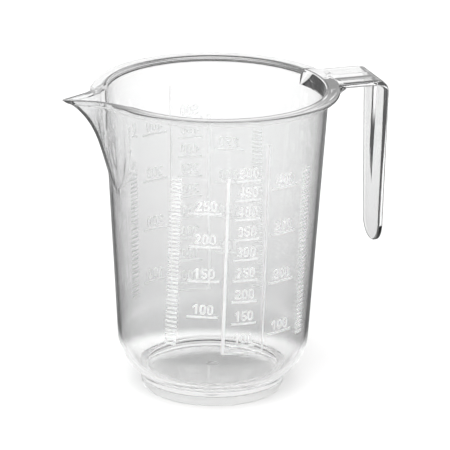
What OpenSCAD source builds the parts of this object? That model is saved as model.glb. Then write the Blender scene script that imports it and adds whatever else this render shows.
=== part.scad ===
// Clear measuring jug with a pointed pouring lip, a one-sided hanging handle and raised scales.
// The origin is the middle of the foot's underside. +Z is up, the handle is on +X, the lip on -X.
// The scales face -Y and, turned half round, +Y. Sizes are in millimetres.

/* [Vessel] */
// Height from the foot's underside to the top of the rim
jug_h = 131; // [120:0.5:150]
// Outer diameter of the wall, carried on to the floor's underside
base_d = 78.4; // [72:0.2:86]
// Thickness of the wall
wall_t = 1.4; // [1:0.1:2.6]
// Thickness of the floor
floor_t = 2; // [1.2:0.1:4]
// How far the middle of the floor is raised
floor_rise = 1.6; // [0.4:0.1:3]
// Outer radius of the rounded lower edge
curve_r = 19.2; // [12:0.2:22]
// Outer diameter of the moulding ring in the middle of the floor
gate_d = 5.4; // [3:0.2:12]
// Height of the moulding ring
gate_h = 0.4; // [0.2:0.1:1]
// Width of the moulding ring's band
gate_band = 0.9; // [0.4:0.1:1.3]

/* [Foot] */
// Height of the hollow under the edge of the floor
foot_h = 4.2; // [2:0.2:8]
// Outer diameter of the foot at its underside
foot_d = 59.5; // [50:0.5:62]
// Width of the foot's land on the table, before its edges are rounded
foot_t = 1.8; // [1.5:0.1:4]
// How far the foot's outside leans out on its way up, in degrees
foot_lean = 13; // [0:1:20]
// Radius of the rounded edges under the foot
foot_edge_r = 0.6; // [0.2:0.05:0.65]
// Depth of the well inside the foot, at the bottom of which the floor lies
well_h = 3.3; // [1.5:0.1:5]
// Radius of the rounded upper edge of the well
well_edge_r = 0.9; // [0.3:0.1:1.2]

/* [Rim] */
// Outer diameter of the rim
rim_d = 103; // [96:0.5:110]
// How far the rim stands out from the wall, at its top
rim_w = 4.5; // [3.6:0.1:6]
// Thickness of the rim and of the handle's plate
rim_t = 2.2; // [1.4:0.1:3]
// Radius of the rim's outer edges
rim_edge_r = 0.9; // [0.3:0.1:1.4]
// Radius of the fillet between the rim's underside and the wall
rim_fillet = 1.8; // [0.5:0.1:2]

/* [Pouring lip] */
// How far the tip stands out from the wall
lip_reach = 19.3; // [16:0.1:26]
// Part of the reach that grows evenly from the toe upwards
lip_throat = 9.5; // [7:0.1:12]
// Height of the lip from its toe to the top of the rim
lip_h = 40; // [30:1:60]
// Width of the lip where it leaves the wall under the rim
lip_w = 26.4; // [20:0.2:32]
// Thickness of the lip's flanks
lip_t = 1.4; // [1:0.1:1.8]
// Rounding of the keel at the tip
keel_tip_r = 1.2; // [0.3:0.1:2]
// Rounding of the keel at the toe
keel_toe_r = 30; // [1:0.5:32]

/* [Handle] */
// Distance from the jug's middle to the outer face of the grip
handle_reach = 72.7; // [66:0.5:90]
// Width of the arm and of the top of the grip
handle_w = 24.4; // [18:0.2:32]
// Outer radius of the bend between the arm and the grip
bend_r = 5; // [5:0.1:8]
// Height of the handle, from the top of the rim to the lower end of the grip
handle_h = 74; // [62:1:90]
// Width of the grip at its rounded lower end
grip_end_w = 18.4; // [12:0.2:24]
// Width of the stiffening rib
rib_w = 7.2; // [4:0.2:12]
// How far the rib stands out under the arm and inside the grip
rib_h = 1.2; // [0.6:0.1:1.8]
// Distance from the top of the rim to the point where the rib runs out
rib_drop = 49; // [30:1:50]
// Height of the wedge under the arm, along the wall
root_h = 5; // [4:0.2:12]
// Length of the wedge under the arm
root_len = 6.5; // [5:0.5:10]

/* [Scales] */
// How far the marks and numbers stand out from the wall
relief = 0.4; // [0.2:0.05:0.8]
// First volume on the volume scale, in millilitres
first_ml = 100; // [100:50:200]
// Last volume on the volume scale, in millilitres
last_ml = 500; // [300:50:550]
// Volume between two marks of the volume scale, in millilitres
step_ml = 50; // [50:50:100]
// Volume between two marks of the fine ladders, in millilitres
ladder_ml = 10; // [10:5:50]
// Weight of a litre of flour, in grams
flour_litre = 600; // [500:10:700]
// Heaviest mark of the flour scale, in grams
flour_last = 250; // [150:50:250]
// Weight of a litre of sugar, in grams
sugar_litre = 850; // [750:10:950]
// Heaviest mark of the sugar scale, in grams
sugar_last = 400; // [200:100:400]
// Height of the numbers
number_h = 4.3; // [3:0.1:4.6]
// Thickness of the strokes of the numbers
stroke_w = 0.7; // [0.4:0.05:0.75]
// Thickness of the marks
mark_w = 0.8; // [0.4:0.1:1]
// Length of the volume marks
ml_mark_len = 10.6; // [8:0.2:12]
// Length of the flour and sugar marks
gram_mark_len = 12; // [9:0.5:12.5]
// Length of the marks of the fine ladders
ladder_len = 3.6; // [2:0.2:4]
// Width of the frame round the volume scale
frame_w = 18; // [15:0.5:19]
// Thickness of the frame's bold upright
frame_bold = 1.2; // [0.6:0.1:1.4]
// Thickness of the frame's other lines
frame_fine = 0.6; // [0.4:0.1:1]
// Distance from the middle of the scales to the middle of the flour and sugar marks
gram_offset = 16.8; // [16:0.2:18]
// Distance from the middle of the scales to the middle of the fine ladders
ladder_offset = 28; // [27:0.5:30]
// Turn of the front scales round the jug's axis, towards the lip, in degrees
front_turn = 2; // [0:0.5:6]
// Turn of the back scales round the jug's axis, towards the handle, in degrees
back_turn = 5; // [0:0.5:6]

/* [Hidden] */
$fn = 96;

CLEAR = [0.86, 0.88, 0.89, 0.55];
CLEAR_EDGE = [0.7, 0.73, 0.75, 0.65];
MARK = [0.96, 0.97, 0.97, 0.9];

// Spare length by which a cutting shape runs past what it cuts
spare = 2;

// Wall: its radius grows evenly with height, and it meets the top of the rim at mouth_d
mouth_d = rim_d - 2 * rim_w;
wall_k = (mouth_d - base_d) / 2 / (jug_h - foot_h);
wall_tilt = atan(wall_k);
wall_side = wall_t / cos(wall_tilt);
function wall_r(z) = base_d / 2 + wall_k * (z - foot_h);
function inner_r(z) = wall_r(z) - wall_side;

// Lower edge: arcs between the wall and the floor, outside and inside
floor_z = foot_h + floor_t;
inner_curve_r = curve_r - wall_t;
outer_c = [wall_r(foot_h + curve_r) - curve_r / cos(wall_tilt), foot_h + curve_r];
inner_c = [inner_r(floor_z + inner_curve_r) - inner_curve_r / cos(wall_tilt), floor_z + inner_curve_r];
inner_wall_z = inner_c.y - inner_curve_r * sin(wall_tilt);
split_z = max(outer_c.y - curve_r * sin(wall_tilt), inner_wall_z);

// Foot: its outside leans out upwards, its inside is straight
foot_r = foot_d / 2;
foot_inner_r = foot_r - foot_t;
foot_top_r = foot_r + (curve_r - foot_edge_r) * tan(foot_lean);

// Well: it is as wide as the inside of the foot, and a ledge runs round it inside the lower edge
ledge_r = foot_inner_r + well_edge_r + 0.1;
curve_z = inner_c.y - sqrt(pow(inner_curve_r, 2) - pow(ledge_r - inner_c.x, 2));
ledge_z = max(floor_z + well_h, curve_z);

// Floor: a shallow dome
dome_ball = (foot_inner_r * foot_inner_r + floor_rise * floor_rise) / (2 * floor_rise);
dome_top = floor_rise - dome_ball + sqrt(dome_ball * dome_ball - pow(gate_d / 2, 2));
dome_smooth = 360;

// Rim
rim_r = rim_d / 2;
rim_low = jug_h - rim_t;
rim_edge = min(rim_edge_r, rim_t / 2);
rim_zone = rim_low - rim_fillet;
rim_fillet_c = [wall_r(rim_zone) + rim_fillet / cos(wall_tilt), rim_zone];

// Pouring lip: s runs from 0 at the toe to 1 at the rim, and the feet of the flanks stay put within the rim
lip_z0 = jug_h - lip_h;
lip_hold = (rim_zone - lip_z0) / lip_h;
lip_start = 0.03;
channel_start = 1.9 * lip_t / lip_throat;
keel_power = 5;
flank_power = 0.38;
toe_levels = 5;
flank_levels = 10;
rim_levels = 4;
tip_steps = 16;
bow_last = tip_steps + 2;
function held(s) = min(s, lip_hold);
function lip_z(s) = lip_z0 + lip_h * s;
function lip_wall(s) = wall_r(lip_z(s));
function lip_depth(s) = lip_throat * s + (lip_reach - lip_throat) * pow(s, keel_power);
function lip_half(s) = lip_w / 2 * pow(held(s) / lip_hold, flank_power);
function keel_r(s) = keel_toe_r + (keel_tip_r - keel_toe_r) * s;
function wall_point(y, r) = [sqrt(r * r - y * y), y];

// Distance from the jug's middle to a rounded ridge at y, for a ridge that passes through a given point
function ridge_x(y, apex, through, q) =
    let (c = sqrt(pow(apex - through.x + q, 2) - q * q) / through.y)
    apex + q - sqrt(pow(c * y, 2) + q * q);

// Knee of a flank: up to here, just outside the rim, the flank is straight
hold_foot = wall_point(lip_w / 2, lip_wall(lip_hold));
hold_run = [lip_wall(lip_hold) + lip_depth(lip_hold), 0] - hold_foot;
hold_out = rim_r + 0.8;
hold_dot = hold_foot * hold_run;
hold_gap = hold_out * hold_out - hold_foot * hold_foot;
hold_share = (sqrt(pow(hold_dot, 2) + hold_run * hold_run * hold_gap) - hold_dot) / (hold_run * hold_run);
knee = 1 - min(hold_share, 0.9);
function knee_point(s, half, depth) =
    let (h = held(s), r = lip_wall(h))
    [ridge_x(knee * half, r + depth, wall_point(half, r), keel_r(h)), knee * half];
function outer_knee(s) = knee_point(s, lip_half(s), lip_depth(held(s)));
function tip_angle(s) = atan2(outer_knee(s).y, lip_wall(s) + lip_depth(s) - outer_knee(s).x);
function channel_depth(s) = lip_depth(s) - lip_t / sin(tip_angle(s));
function channel_half(s) = lip_half(s) * channel_depth(held(s)) / lip_depth(held(s));
function inner_knee(s) = knee_point(s, channel_half(s), channel_depth(held(s)));

// Where the straight part of a flank meets the wall at this height
function foot_point(s, half, knee_at) =
    let (a = wall_point(half, lip_wall(held(s))), u = (knee_at - a) / norm(knee_at - a), p = a * u)
    a + u * (sqrt(p * p + pow(lip_wall(s), 2) - a * a) - p);
function bow(s, foot, knee_at, depth) =
    concat([[foot.x, -foot.y]],
        [for (i = [0 : tip_steps]) let (y = knee_at.y * (2 * i / tip_steps - 1))
            [ridge_x(y, lip_wall(s) + depth, knee_at, keel_r(s)), y]],
        [foot]);
function raised(points, z) = [for (p = points) [-p.x, p.y, z]];

// Closed sections of the lip: solid ones for the toe, and ones with the pouring channel
function outer_foot(s) = foot_point(s, lip_half(s), outer_knee(s));
function inner_foot(s) = foot_point(s, channel_half(s), inner_knee(s));
function outer_bow(s) = bow(s, outer_foot(s), outer_knee(s), lip_depth(s));
function inner_bow(s) = bow(s, inner_foot(s), inner_knee(s), channel_depth(s));
function toe_section(s) =
    let (outer = outer_bow(s))
    raised(concat(outer, [for (i = [bow_last - 1 : -1 : 1]) wall_point(outer[i].y, lip_wall(s))]), lip_z(s));
function channel_section(s) =
    let (inner = inner_bow(s))
    raised(concat(outer_bow(s), [for (i = [bow_last : -1 : 0]) inner[i]]), lip_z(s));
channel_levels = [for (j = [0 : flank_levels]) channel_start + (lip_hold - channel_start) * j / flank_levels];
top_levels = [for (j = [1 : rim_levels]) lip_hold + (1 - lip_hold) * j / rim_levels];

// Handle
seat_x = rim_fillet_c.x + 0.5;
bend_c = [handle_reach - bend_r, jug_h - bend_r];
bend_inner_r = bend_r - rim_t;
rib_r = bend_inner_r - rib_h;
grip_low = jug_h - handle_h;
grip_end_r = grip_end_w / 2;
grip_end_z = grip_low + grip_end_r;
root_x = wall_r(rim_low);

// Volume inside the lower edge, up to where the straight wall starts
function slice_sum(w) =
    let (q = pow(inner_curve_r, 2), turn = asin(w / inner_curve_r) * PI / 180)
    (pow(inner_c.x, 2) + q) * w - pow(w, 3) / 3 + inner_c.x * (w * sqrt(q - w * w) + q * turn);
dome_volume = PI * floor_rise / 6 * (3 * foot_inner_r * foot_inner_r + floor_rise * floor_rise);
well_volume = PI * foot_inner_r * foot_inner_r * (ledge_z - floor_z) - dome_volume;
low_volume = well_volume + PI * (slice_sum(inner_c.y - ledge_z) - slice_sum(inner_curve_r * sin(wall_tilt)));

// Height at which the jug holds a volume in millilitres
function fill_z(ml) =
    let (r = inner_r(inner_wall_z))
    inner_wall_z + (pow(pow(r, 3) + 3 * wall_k * (ml * 1000 - low_volume) / PI, 1 / 3) - r) / wall_k;

// Scales
mark_low = split_z;
number_gap = 0.9;
digit_pitch = 0.66 * number_h;
frame_gap = 3.4;
frame_left_top = 1.2;
frame_right_top = 14.6;
function fits(z) = z > mark_low + mark_w && z + number_h + number_gap + mark_w < rim_zone;
ml_marks = [for (ml = [first_ml : step_ml : last_ml]) if (fits(fill_z(ml))) ml];
flour_marks = [for (g = [100 : 50 : flour_last]) if (fits(fill_z(1000 * g / flour_litre))) g];
sugar_marks = [for (g = [100 : 100 : sugar_last]) if (fits(fill_z(1000 * g / sugar_litre))) g];
ladder_marks = [for (ml = [first_ml : ladder_ml : last_ml]) if (fits(fill_z(ml))) ml];

// Half outline of the jug from its middle to a surface, with the lower edge rounded
module vessel_half(z0, z1, r0, r1, centre, radius) {
    side = centre + radius * [cos(wall_tilt), -sin(wall_tilt)];
    difference() {
        polygon([[0, z0], [r0, z0], [r1, z1], [0, z1]]);
        difference() {
            polygon([[centre.x, z0], [centre.x, z0 - spare], [r0 + spare, z0 - spare],
                side + [spare, 0], side]);
            translate(centre) circle(radius);
        }
    }
}

module outer_half() {
    vessel_half(foot_h, jug_h, wall_r(foot_h), wall_r(jug_h), outer_c, curve_r);
}

// The inside above the ledge round the well
module inner_half() {
    intersection() {
        vessel_half(floor_z, jug_h + spare, inner_r(floor_z), inner_r(jug_h + spare), inner_c, inner_curve_r);
        translate([0, ledge_z]) square([mouth_d, jug_h]);
    }
}

module shell_half() {
    difference() {
        outer_half();
        inner_half();
    }
}

// Fillet under the rim, reaching into the rim and the wall
module rim_fillet_half() {
    foot = rim_fillet_c + rim_fillet * [-cos(wall_tilt), sin(wall_tilt)];
    difference() {
        polygon([foot - [wall_t / 2, 0], foot, rim_fillet_c, [rim_fillet_c.x, rim_low + rim_t / 2],
            [foot.x - wall_t / 2, rim_low + rim_t / 2]]);
        translate(rim_fillet_c) circle(rim_fillet);
    }
}

module rim_half() {
    difference() {
        union() {
            translate([0, rim_low]) square([rim_r - rim_edge, rim_t]);
            translate([0, rim_low + rim_edge]) square([rim_r, rim_t - 2 * rim_edge]);
            translate([rim_r - rim_edge, rim_low + rim_edge]) circle(rim_edge);
            translate([rim_r - rim_edge, jug_h - rim_edge]) circle(rim_edge);
            rim_fillet_half();
        }
        inner_half();
        intersection() {
            outer_half();
            square([mouth_d, rim_low]);
        }
    }
}

// Closed solid through sections of the lip. Each section runs along the outside of the flanks and back along
// the inside, so its end face is a band between the two. The sides share their end points if fold is 0.
module skin(sections, fold) {
    n = len(sections[0]);
    last = len(sections) - 1;
    points = [for (section = sections) each section];
    sides = [for (j = [0 : last - 1], i = [0 : n - 1])
        let (a = j * n + i, b = j * n + (i + 1) % n)
        each [[a, b, b + n], [a, b + n, a + n]]];
    band = [for (i = [0 : bow_last - 1])
        let (c = (n - fold - i - 1) % n, d = (n - fold - i) % n)
        each concat(c != i + 1 ? [[i, i + 1, c]] : [], d != i ? [[i, c, d]] : [])];
    low = [for (t = band) [t[2], t[1], t[0]]];
    high = [for (t = band) [for (i = t) last * n + i]];
    polyhedron(points, concat(sides, low, high), convexity = 6);
}

// What the lip takes from the rim: everything between the flanks, outside the wall
module lip_room() {
    far = outer_knee(1);
    near = hold_foot + (hold_foot - far) / norm(hold_foot - far) * spare;
    difference() {
        translate([0, 0, rim_zone]) linear_extrude(jug_h) polygon([[-near.x, near.y], [-far.x, far.y],
            [-rim_d, far.y], [-rim_d, -far.y], [-far.x, -far.y], [-near.x, -near.y]]);
        rotate_extrude()
            vessel_half(foot_h, jug_h + spare, wall_r(foot_h), wall_r(jug_h + spare), outer_c, curve_r);
    }
}

// Opening through the wall and the rim into the lip
module channel_opening() {
    right = [for (s = channel_levels) [channel_half(s), lip_z(s)]];
    left = [for (j = [flank_levels : -1 : 0]) [-right[j].x, right[j].y]];
    top = [right[flank_levels].x, jug_h + spare];
    rotate([90, 0, -90]) linear_extrude(rim_r) polygon(concat(right, [top, [-top.x, top.y]], left));
}

module block(x0, x1, width, z0, z1) {
    translate([x0, -width / 2, z0]) cube([x1 - x0, width, z1 - z0]);
}

module foot_ring() {
    color(CLEAR_EDGE) rotate_extrude() difference() {
        union() {
            polygon([[foot_inner_r + foot_edge_r, 0], [foot_r - foot_edge_r, 0], [foot_r, foot_edge_r],
                [foot_top_r, curve_r], [foot_inner_r, curve_r], [foot_inner_r, foot_edge_r]]);
            translate([foot_inner_r + foot_edge_r, foot_edge_r]) circle(foot_edge_r);
            translate([foot_r - foot_edge_r, foot_edge_r]) circle(foot_edge_r);
        }
        outer_half();
    }
}

// Dome through the floor's middle, at the height of its edge, with a flat top for the moulding ring
module dome_half(edge_z) {
    intersection() {
        translate([0, edge_z + floor_rise - dome_ball]) circle(dome_ball, $fn = dome_smooth);
        translate([0, foot_h - spare]) square([foot_inner_r, edge_z + dome_top - foot_h + spare]);
    }
}

module floor_plate() {
    color(CLEAR) rotate_extrude() difference() {
        union() {
            translate([0, foot_h]) square([foot_inner_r, floor_t]);
            dome_half(floor_z);
        }
        dome_half(foot_h);
    }
}

module gate_ring() {
    color(CLEAR_EDGE) translate([0, 0, floor_z + dome_top]) difference() {
        cylinder(d = gate_d, h = gate_h);
        translate([0, 0, -spare]) cylinder(d = gate_d - 2 * gate_band, h = gate_h + 2 * spare);
    }
}

module lower_curve() {
    color(CLEAR) rotate_extrude() difference() {
        intersection() {
            shell_half();
            translate([foot_inner_r, 0]) square([mouth_d, split_z]);
        }
        difference() {
            translate([foot_inner_r - spare, ledge_z - well_edge_r])
                square([spare + well_edge_r, well_edge_r + spare]);
            translate([foot_inner_r + well_edge_r, ledge_z - well_edge_r]) circle(well_edge_r);
        }
    }
}

module side_wall() {
    color(CLEAR) difference() {
        rotate_extrude() intersection() {
            shell_half();
            translate([0, split_z]) square([mouth_d, rim_low - split_z]);
        }
        channel_opening();
    }
}

module rim_flange() {
    color(CLEAR_EDGE) difference() {
        rotate_extrude() rim_half();
        lip_room();
        channel_opening();
        block(seat_x, rim_d, handle_w, rim_low - spare, jug_h + spare);
    }
}

module lip_toe() {
    color(CLEAR) skin([for (j = [0 : toe_levels])
        toe_section(lip_start + (channel_start - lip_start) * j / toe_levels)], 0);
}

module lip_flanks() {
    color(CLEAR) skin([for (s = concat(channel_levels, top_levels)) channel_section(s)], 1);
}

// Wedge between the arm's underside and the wall
module handle_root() {
    color(CLEAR_EDGE) difference() {
        rotate([90, 0, 0]) linear_extrude(handle_w, center = true)
            polygon([[root_x - root_h, rim_low - root_h], [root_x, rim_low - root_h],
                [root_x + root_len, rim_low], [root_x - root_h, rim_low]]);
        rotate_extrude() {
            outer_half();
            rim_fillet_half();
        }
    }
}

module handle_arm() {
    color(CLEAR) block(seat_x, bend_c.x, handle_w, rim_low, jug_h);
}

module handle_bend() {
    color(CLEAR) rotate([90, 0, 0]) linear_extrude(handle_w, center = true) intersection() {
        translate(bend_c) difference() {
            circle(bend_r);
            circle(bend_inner_r);
        }
        translate(bend_c) square(bend_r);
    }
}

module handle_grip() {
    color(CLEAR) translate([handle_reach - rim_t, 0, 0]) rotate([90, 0, 90]) linear_extrude(rim_t) {
        polygon([[-handle_w / 2, bend_c.y], [-grip_end_r, grip_end_z],
            [grip_end_r, grip_end_z], [handle_w / 2, bend_c.y]]);
        translate([0, grip_end_z]) circle(grip_end_r);
    }
}

// Rib under the arm and round the inside of the bend, then down the grip, where it runs out to a point
module handle_rib() {
    color(CLEAR_EDGE) union() {
        rotate([90, 0, 0]) linear_extrude(rib_w, center = true) difference() {
            polygon([[root_x + root_len * (1 - rib_h / root_h), rim_low - rib_h], [bend_c.x, rim_low - rib_h],
                [bend_c.x + rib_r, bend_c.y], [bend_c.x + bend_inner_r, bend_c.y],
                [bend_c.x + bend_inner_r, rim_low], [root_x + root_len, rim_low]]);
            translate(bend_c) circle(rib_r);
            translate(bend_c) difference() {
                square(bend_r);
                circle(bend_inner_r);
            }
        }
        translate([bend_c.x + rib_r, 0, 0]) rotate([90, 0, 90]) linear_extrude(rib_h)
            polygon([[-rib_w / 2, bend_c.y + rib_r], [-rib_w / 2, bend_c.y], [0, jug_h - rib_drop],
                [rib_w / 2, bend_c.y], [rib_w / 2, bend_c.y + rib_r]]);
    }
}

// Strokes of the digits, drawn in a box number_h high about x = 0
module arc_stroke(centre, radius, from, to) {
    reach = 2 * radius;
    steps = 6;
    translate(centre) intersection() {
        difference() {
            circle(radius);
            circle(radius - stroke_w);
        }
        polygon(concat([[0, 0]],
            [for (i = [0 : steps]) let (a = from + (to - from) * i / steps) reach * [cos(a), sin(a)]]));
    }
}

module bar(x, y, w, h) {
    translate([x, y]) square([w, h]);
}

module digit_0() {
    r = 0.28 * number_h;
    lap = stroke_w / 4;
    arc_stroke([0, number_h - r], r, 0, 180);
    arc_stroke([0, r], r, 180, 360);
    bar(-r, r - lap, stroke_w, number_h - 2 * r + 2 * lap);
    bar(r - stroke_w, r - lap, stroke_w, number_h - 2 * r + 2 * lap);
}

module digit_1() {
    flag = 0.24 * number_h;
    bar(0, 0, stroke_w, number_h);
    polygon([[0, number_h], [-flag, number_h - flag], [-flag, number_h - flag - stroke_w],
        [stroke_w / 2, number_h - stroke_w]]);
}

module digit_2() {
    r = 0.28 * number_h;
    lap = stroke_w / 4;
    arc_stroke([0, number_h - r], r, 0, 180);
    polygon([[-r, lap], [-r + 1.4 * stroke_w, lap], [r, number_h - r], [r, number_h - r + lap],
        [r - stroke_w, number_h - r + lap]]);
    bar(-r, 0, 2 * r, stroke_w);
}

module digit_3() {
    r = number_h / 4 + stroke_w / 4;
    arc_stroke([0, number_h - r], r, -90, 150);
    arc_stroke([0, r], r, -150, 90);
}

module digit_4() {
    half = 0.29 * number_h;
    foot = 0.24 * number_h;
    bar(half - 1.6 * stroke_w, 0, stroke_w, number_h);
    bar(-half, foot, 2 * half, stroke_w);
    polygon([[-half, foot + stroke_w], [-half, foot], [half - stroke_w, number_h - stroke_w],
        [half - 1.6 * stroke_w, number_h]]);
}

module digit_5() {
    r = 0.31 * number_h;
    left = -0.24 * number_h;
    arc_stroke([0, r], r, -150, 130);
    bar(left, 1.6 * r, stroke_w, number_h - 1.6 * r);
    bar(left, number_h - stroke_w, 0.5 * number_h, stroke_w);
}

module digit(d) {
    if (d == 0) digit_0();
    if (d == 1) digit_1();
    if (d == 2) digit_2();
    if (d == 3) digit_3();
    if (d == 4) digit_4();
    if (d == 5) digit_5();
}

// Three-digit number over its mark
module number_over(value, x, z) {
    digits = [floor(value / 100), floor(value / 10) % 10, value % 10];
    for (i = [0 : 2]) translate([x + (i - 1) * digit_pitch, z + mark_w / 2 + number_gap]) digit(digits[i]);
}

module mark(x, z, length, width) {
    translate([x - length / 2, z - width / 2]) square([length, width]);
}

// Raises a flat drawing on the wall, turned clockwise from the front
module on_wall(turn) {
    color(MARK) rotate([0, 0, -turn]) intersection() {
        rotate_extrude() polygon([[wall_r(mark_low), mark_low], [wall_r(mark_low) + relief, mark_low],
            [wall_r(rim_zone) + relief, rim_zone], [wall_r(rim_zone), rim_zone]]);
        rotate([90, 0, 0]) linear_extrude(mouth_d) children();
    }
}

module on_front() {
    on_wall(front_turn) children();
}

module on_back() {
    on_wall(180 + back_turn) children();
}

// Volume marks with a frame of one bold upright, one tall fine upright and a fine lower line
module volume_drawing() {
    low = max(fill_z(ml_marks[0]) - frame_gap, mark_low + frame_fine);
    high = fill_z(ml_marks[len(ml_marks) - 1]);
    for (ml = ml_marks) mark(0, fill_z(ml), ml_mark_len, mark_w);
    bar(-frame_w / 2, low, frame_bold, high + frame_left_top - low);
    bar(frame_w / 2 - frame_fine, low, frame_fine, min(high + frame_right_top, rim_zone - spare) - low);
    bar(-frame_w / 2, low, frame_w, frame_fine);
}

module volume_number_drawing() {
    for (ml = ml_marks) number_over(ml, 0, fill_z(ml));
}

module gram_drawing(grams, litre, x) {
    for (g = grams) {
        mark(x, fill_z(1000 * g / litre), gram_mark_len, mark_w);
        number_over(g, x, fill_z(1000 * g / litre));
    }
}

module ladder_drawing() {
    for (ml = ladder_marks, side = [-1, 1]) mark(side * ladder_offset, fill_z(ml), ladder_len, mark_w);
}

module volume_marks_front() on_front() volume_drawing();
module volume_marks_back() on_back() volume_drawing();
module volume_numbers_front() on_front() volume_number_drawing();
module volume_numbers_back() on_back() volume_number_drawing();
module flour_scale_front() on_front() gram_drawing(flour_marks, flour_litre, -gram_offset);
module flour_scale_back() on_back() gram_drawing(flour_marks, flour_litre, -gram_offset);
module sugar_scale_front() on_front() gram_drawing(sugar_marks, sugar_litre, gram_offset);
module sugar_scale_back() on_back() gram_drawing(sugar_marks, sugar_litre, gram_offset);
module ladder_front() on_front() ladder_drawing();
module ladder_back() on_back() ladder_drawing();

foot_ring();
floor_plate();
gate_ring();
lower_curve();
side_wall();
rim_flange();
lip_toe();
lip_flanks();
handle_root();
handle_arm();
handle_bend();
handle_grip();
handle_rib();
volume_marks_front();
volume_marks_back();
volume_numbers_front();
volume_numbers_back();
flour_scale_front();
flour_scale_back();
sugar_scale_front();
sugar_scale_back();
ladder_front();
ladder_back();
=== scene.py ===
"""Clear measuring jug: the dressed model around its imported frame, laid out as a Blender add-on."""

import math

import bmesh
import bpy
import numpy as np
from bpy.props import FloatProperty, FloatVectorProperty, IntProperty, PointerProperty
from mathutils import Matrix, Vector


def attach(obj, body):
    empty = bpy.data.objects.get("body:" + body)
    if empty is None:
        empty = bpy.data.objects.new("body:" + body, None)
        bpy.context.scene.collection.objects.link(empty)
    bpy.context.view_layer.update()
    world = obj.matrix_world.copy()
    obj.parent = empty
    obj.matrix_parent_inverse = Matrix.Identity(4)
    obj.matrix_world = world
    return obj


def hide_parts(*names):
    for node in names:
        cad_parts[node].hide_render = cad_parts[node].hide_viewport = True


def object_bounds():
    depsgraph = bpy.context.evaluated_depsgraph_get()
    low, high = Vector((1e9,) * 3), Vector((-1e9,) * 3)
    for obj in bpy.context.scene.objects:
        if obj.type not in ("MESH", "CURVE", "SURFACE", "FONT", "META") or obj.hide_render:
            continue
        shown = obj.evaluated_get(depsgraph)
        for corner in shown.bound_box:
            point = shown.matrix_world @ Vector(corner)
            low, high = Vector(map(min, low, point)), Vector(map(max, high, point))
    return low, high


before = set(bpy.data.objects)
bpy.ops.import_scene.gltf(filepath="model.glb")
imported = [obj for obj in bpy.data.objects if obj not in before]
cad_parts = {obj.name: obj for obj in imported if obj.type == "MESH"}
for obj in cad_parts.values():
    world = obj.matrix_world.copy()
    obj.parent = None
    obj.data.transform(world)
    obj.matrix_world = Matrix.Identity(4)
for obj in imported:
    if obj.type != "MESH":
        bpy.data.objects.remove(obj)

bl_info = {
    "name": "Clear Measuring Jug",
    "version": (1, 0, 0),
    "blender": (4, 5, 0),
    "location": "3D View > Sidebar > Jug",
    "description": "Builds a clear moulded measuring jug with a pointed pouring lip and a hanging handle",
    "category": "Add Mesh",
}

CAD_BOX = [list(corner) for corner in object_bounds()]
BODY = "root"
MM = 0.001

# Points closer than this are one point, and edges shorter than this are none, in metres
SAME_POINT = 1e-7
NO_LENGTH = 1e-8
# Edges sharper than this stay sharp, in degrees
SHARP_ANGLE = 38

# Reflections inside the plastic after which its light counts as led along, and a painted glow stands in for
# it
PAINTED_GLOW_AFTER = 3.5
# Where that painted glow comes out: the middle of its stretch along X, the stretch's edge, and the least
# brightness
PAINTED_GLOW_MIDDLE, PAINTED_GLOW_EDGE, PAINTED_GLOW_LEAST = -0.002, (0.033, 0.05), 0.1
# The painted dark line on the rim's inner edge, a painted shade where the rounded edge bends the light away:
# its place further out, in millimetres, its edge and depth, in metres
RIM_PAINTED_SHADE_OUT, RIM_PAINTED_SHADE_EDGE, RIM_PAINTED_SHADE_DEPTH = 0.2, (0.00035, 0.0006), 0.0007
RIM_PAINTED_SHADE_TINT = (0.04, 0.04, 0.04, 1.0)
# How far the plastic is turned from the eye at its three tints, from 0 square on to 1 along its surface. The
# aslant and edge tints are darker: painted shade that darkens the plastic's edges
CLEAR_AT, ASLANT_AT, EDGE_AT = 0.02, 0.7, 0.97
# What the lamps' light keeps at each face of the plastic and of the marks
PLASTIC_SHADOW, MARK_SHADOW = (0.97, 0.97, 0.97), (0.96, 0.96, 0.96)

# Distances from the jug's axis, in metres, over which the floor's painted light and shade change
UNDER_EDGE, FOOT_EDGE, REAR_EDGE, OPEN_EDGE = (0.026, 0.03), (0.029, 0.031), (0.052, 0.066), (0.1, 0.35)
# Where the plinth's mirror image has gone, in plinths, and the floor's reflection is painted dark
PLINTH_FADE = 1.5
# How far a direction points to the backdrop where a sector starts and where it is full
REAR_SECTOR, LED_SECTOR, LIT_SECTOR = (0.2, 0.6), (0.8, 0.94), (0.25, 0.65)
# Tones of the surroundings away from the backdrop and in it
LIT_TONES = (0.1, 1.0)
# Directions that the two lamps shine from
KEY_FROM, FILL_FROM = (-0.25, -0.35, 1.0), (-0.5, -1.0, 0.6)
# How far the floor lies under the foot, in metres
FLOOR_DROP = 0.0002

MOULDED_NODES = (
    "foot_ring", "floor_plate", "gate_ring", "lower_curve", "side_wall", "rim_flange", "lip_toe",
    "lip_flanks", "handle_root", "handle_arm", "handle_bend", "handle_grip", "handle_rib",
)
SCALE_NODES = tuple(
    f"{scale}_{side}"
    for scale in ("volume_marks", "volume_numbers", "flour_scale", "sugar_scale", "ladder")
    for side in ("front", "back")
)


def length(name, description, default_mm):
    """A length property, given in millimetres and kept in metres."""
    return FloatProperty(
        name=name, description=description, default=default_mm * MM, unit="LENGTH", subtype="DISTANCE",
        precision=5,
    )


def angle(name, description, default_deg):
    """An angle property, given in degrees and kept in radians."""
    return FloatProperty(
        name=name, description=description, default=math.radians(default_deg), unit="ROTATION",
        subtype="ANGLE",
    )


def share(name, description, default):
    """A plain share from 0 to 1."""
    return FloatProperty(
        name=name, description=description, default=default, min=0.0, max=1.0, subtype="FACTOR", precision=3
    )


def amount(name, description, default):
    """A plain number that isn't negative."""
    return FloatProperty(name=name, description=description, default=default, min=0.0, precision=4)


def colour(name, description, default):
    """A colour without alpha."""
    return FloatVectorProperty(
        name=name, description=description, default=default, size=3, min=0.0, max=1.0, subtype="COLOR"
    )


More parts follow.
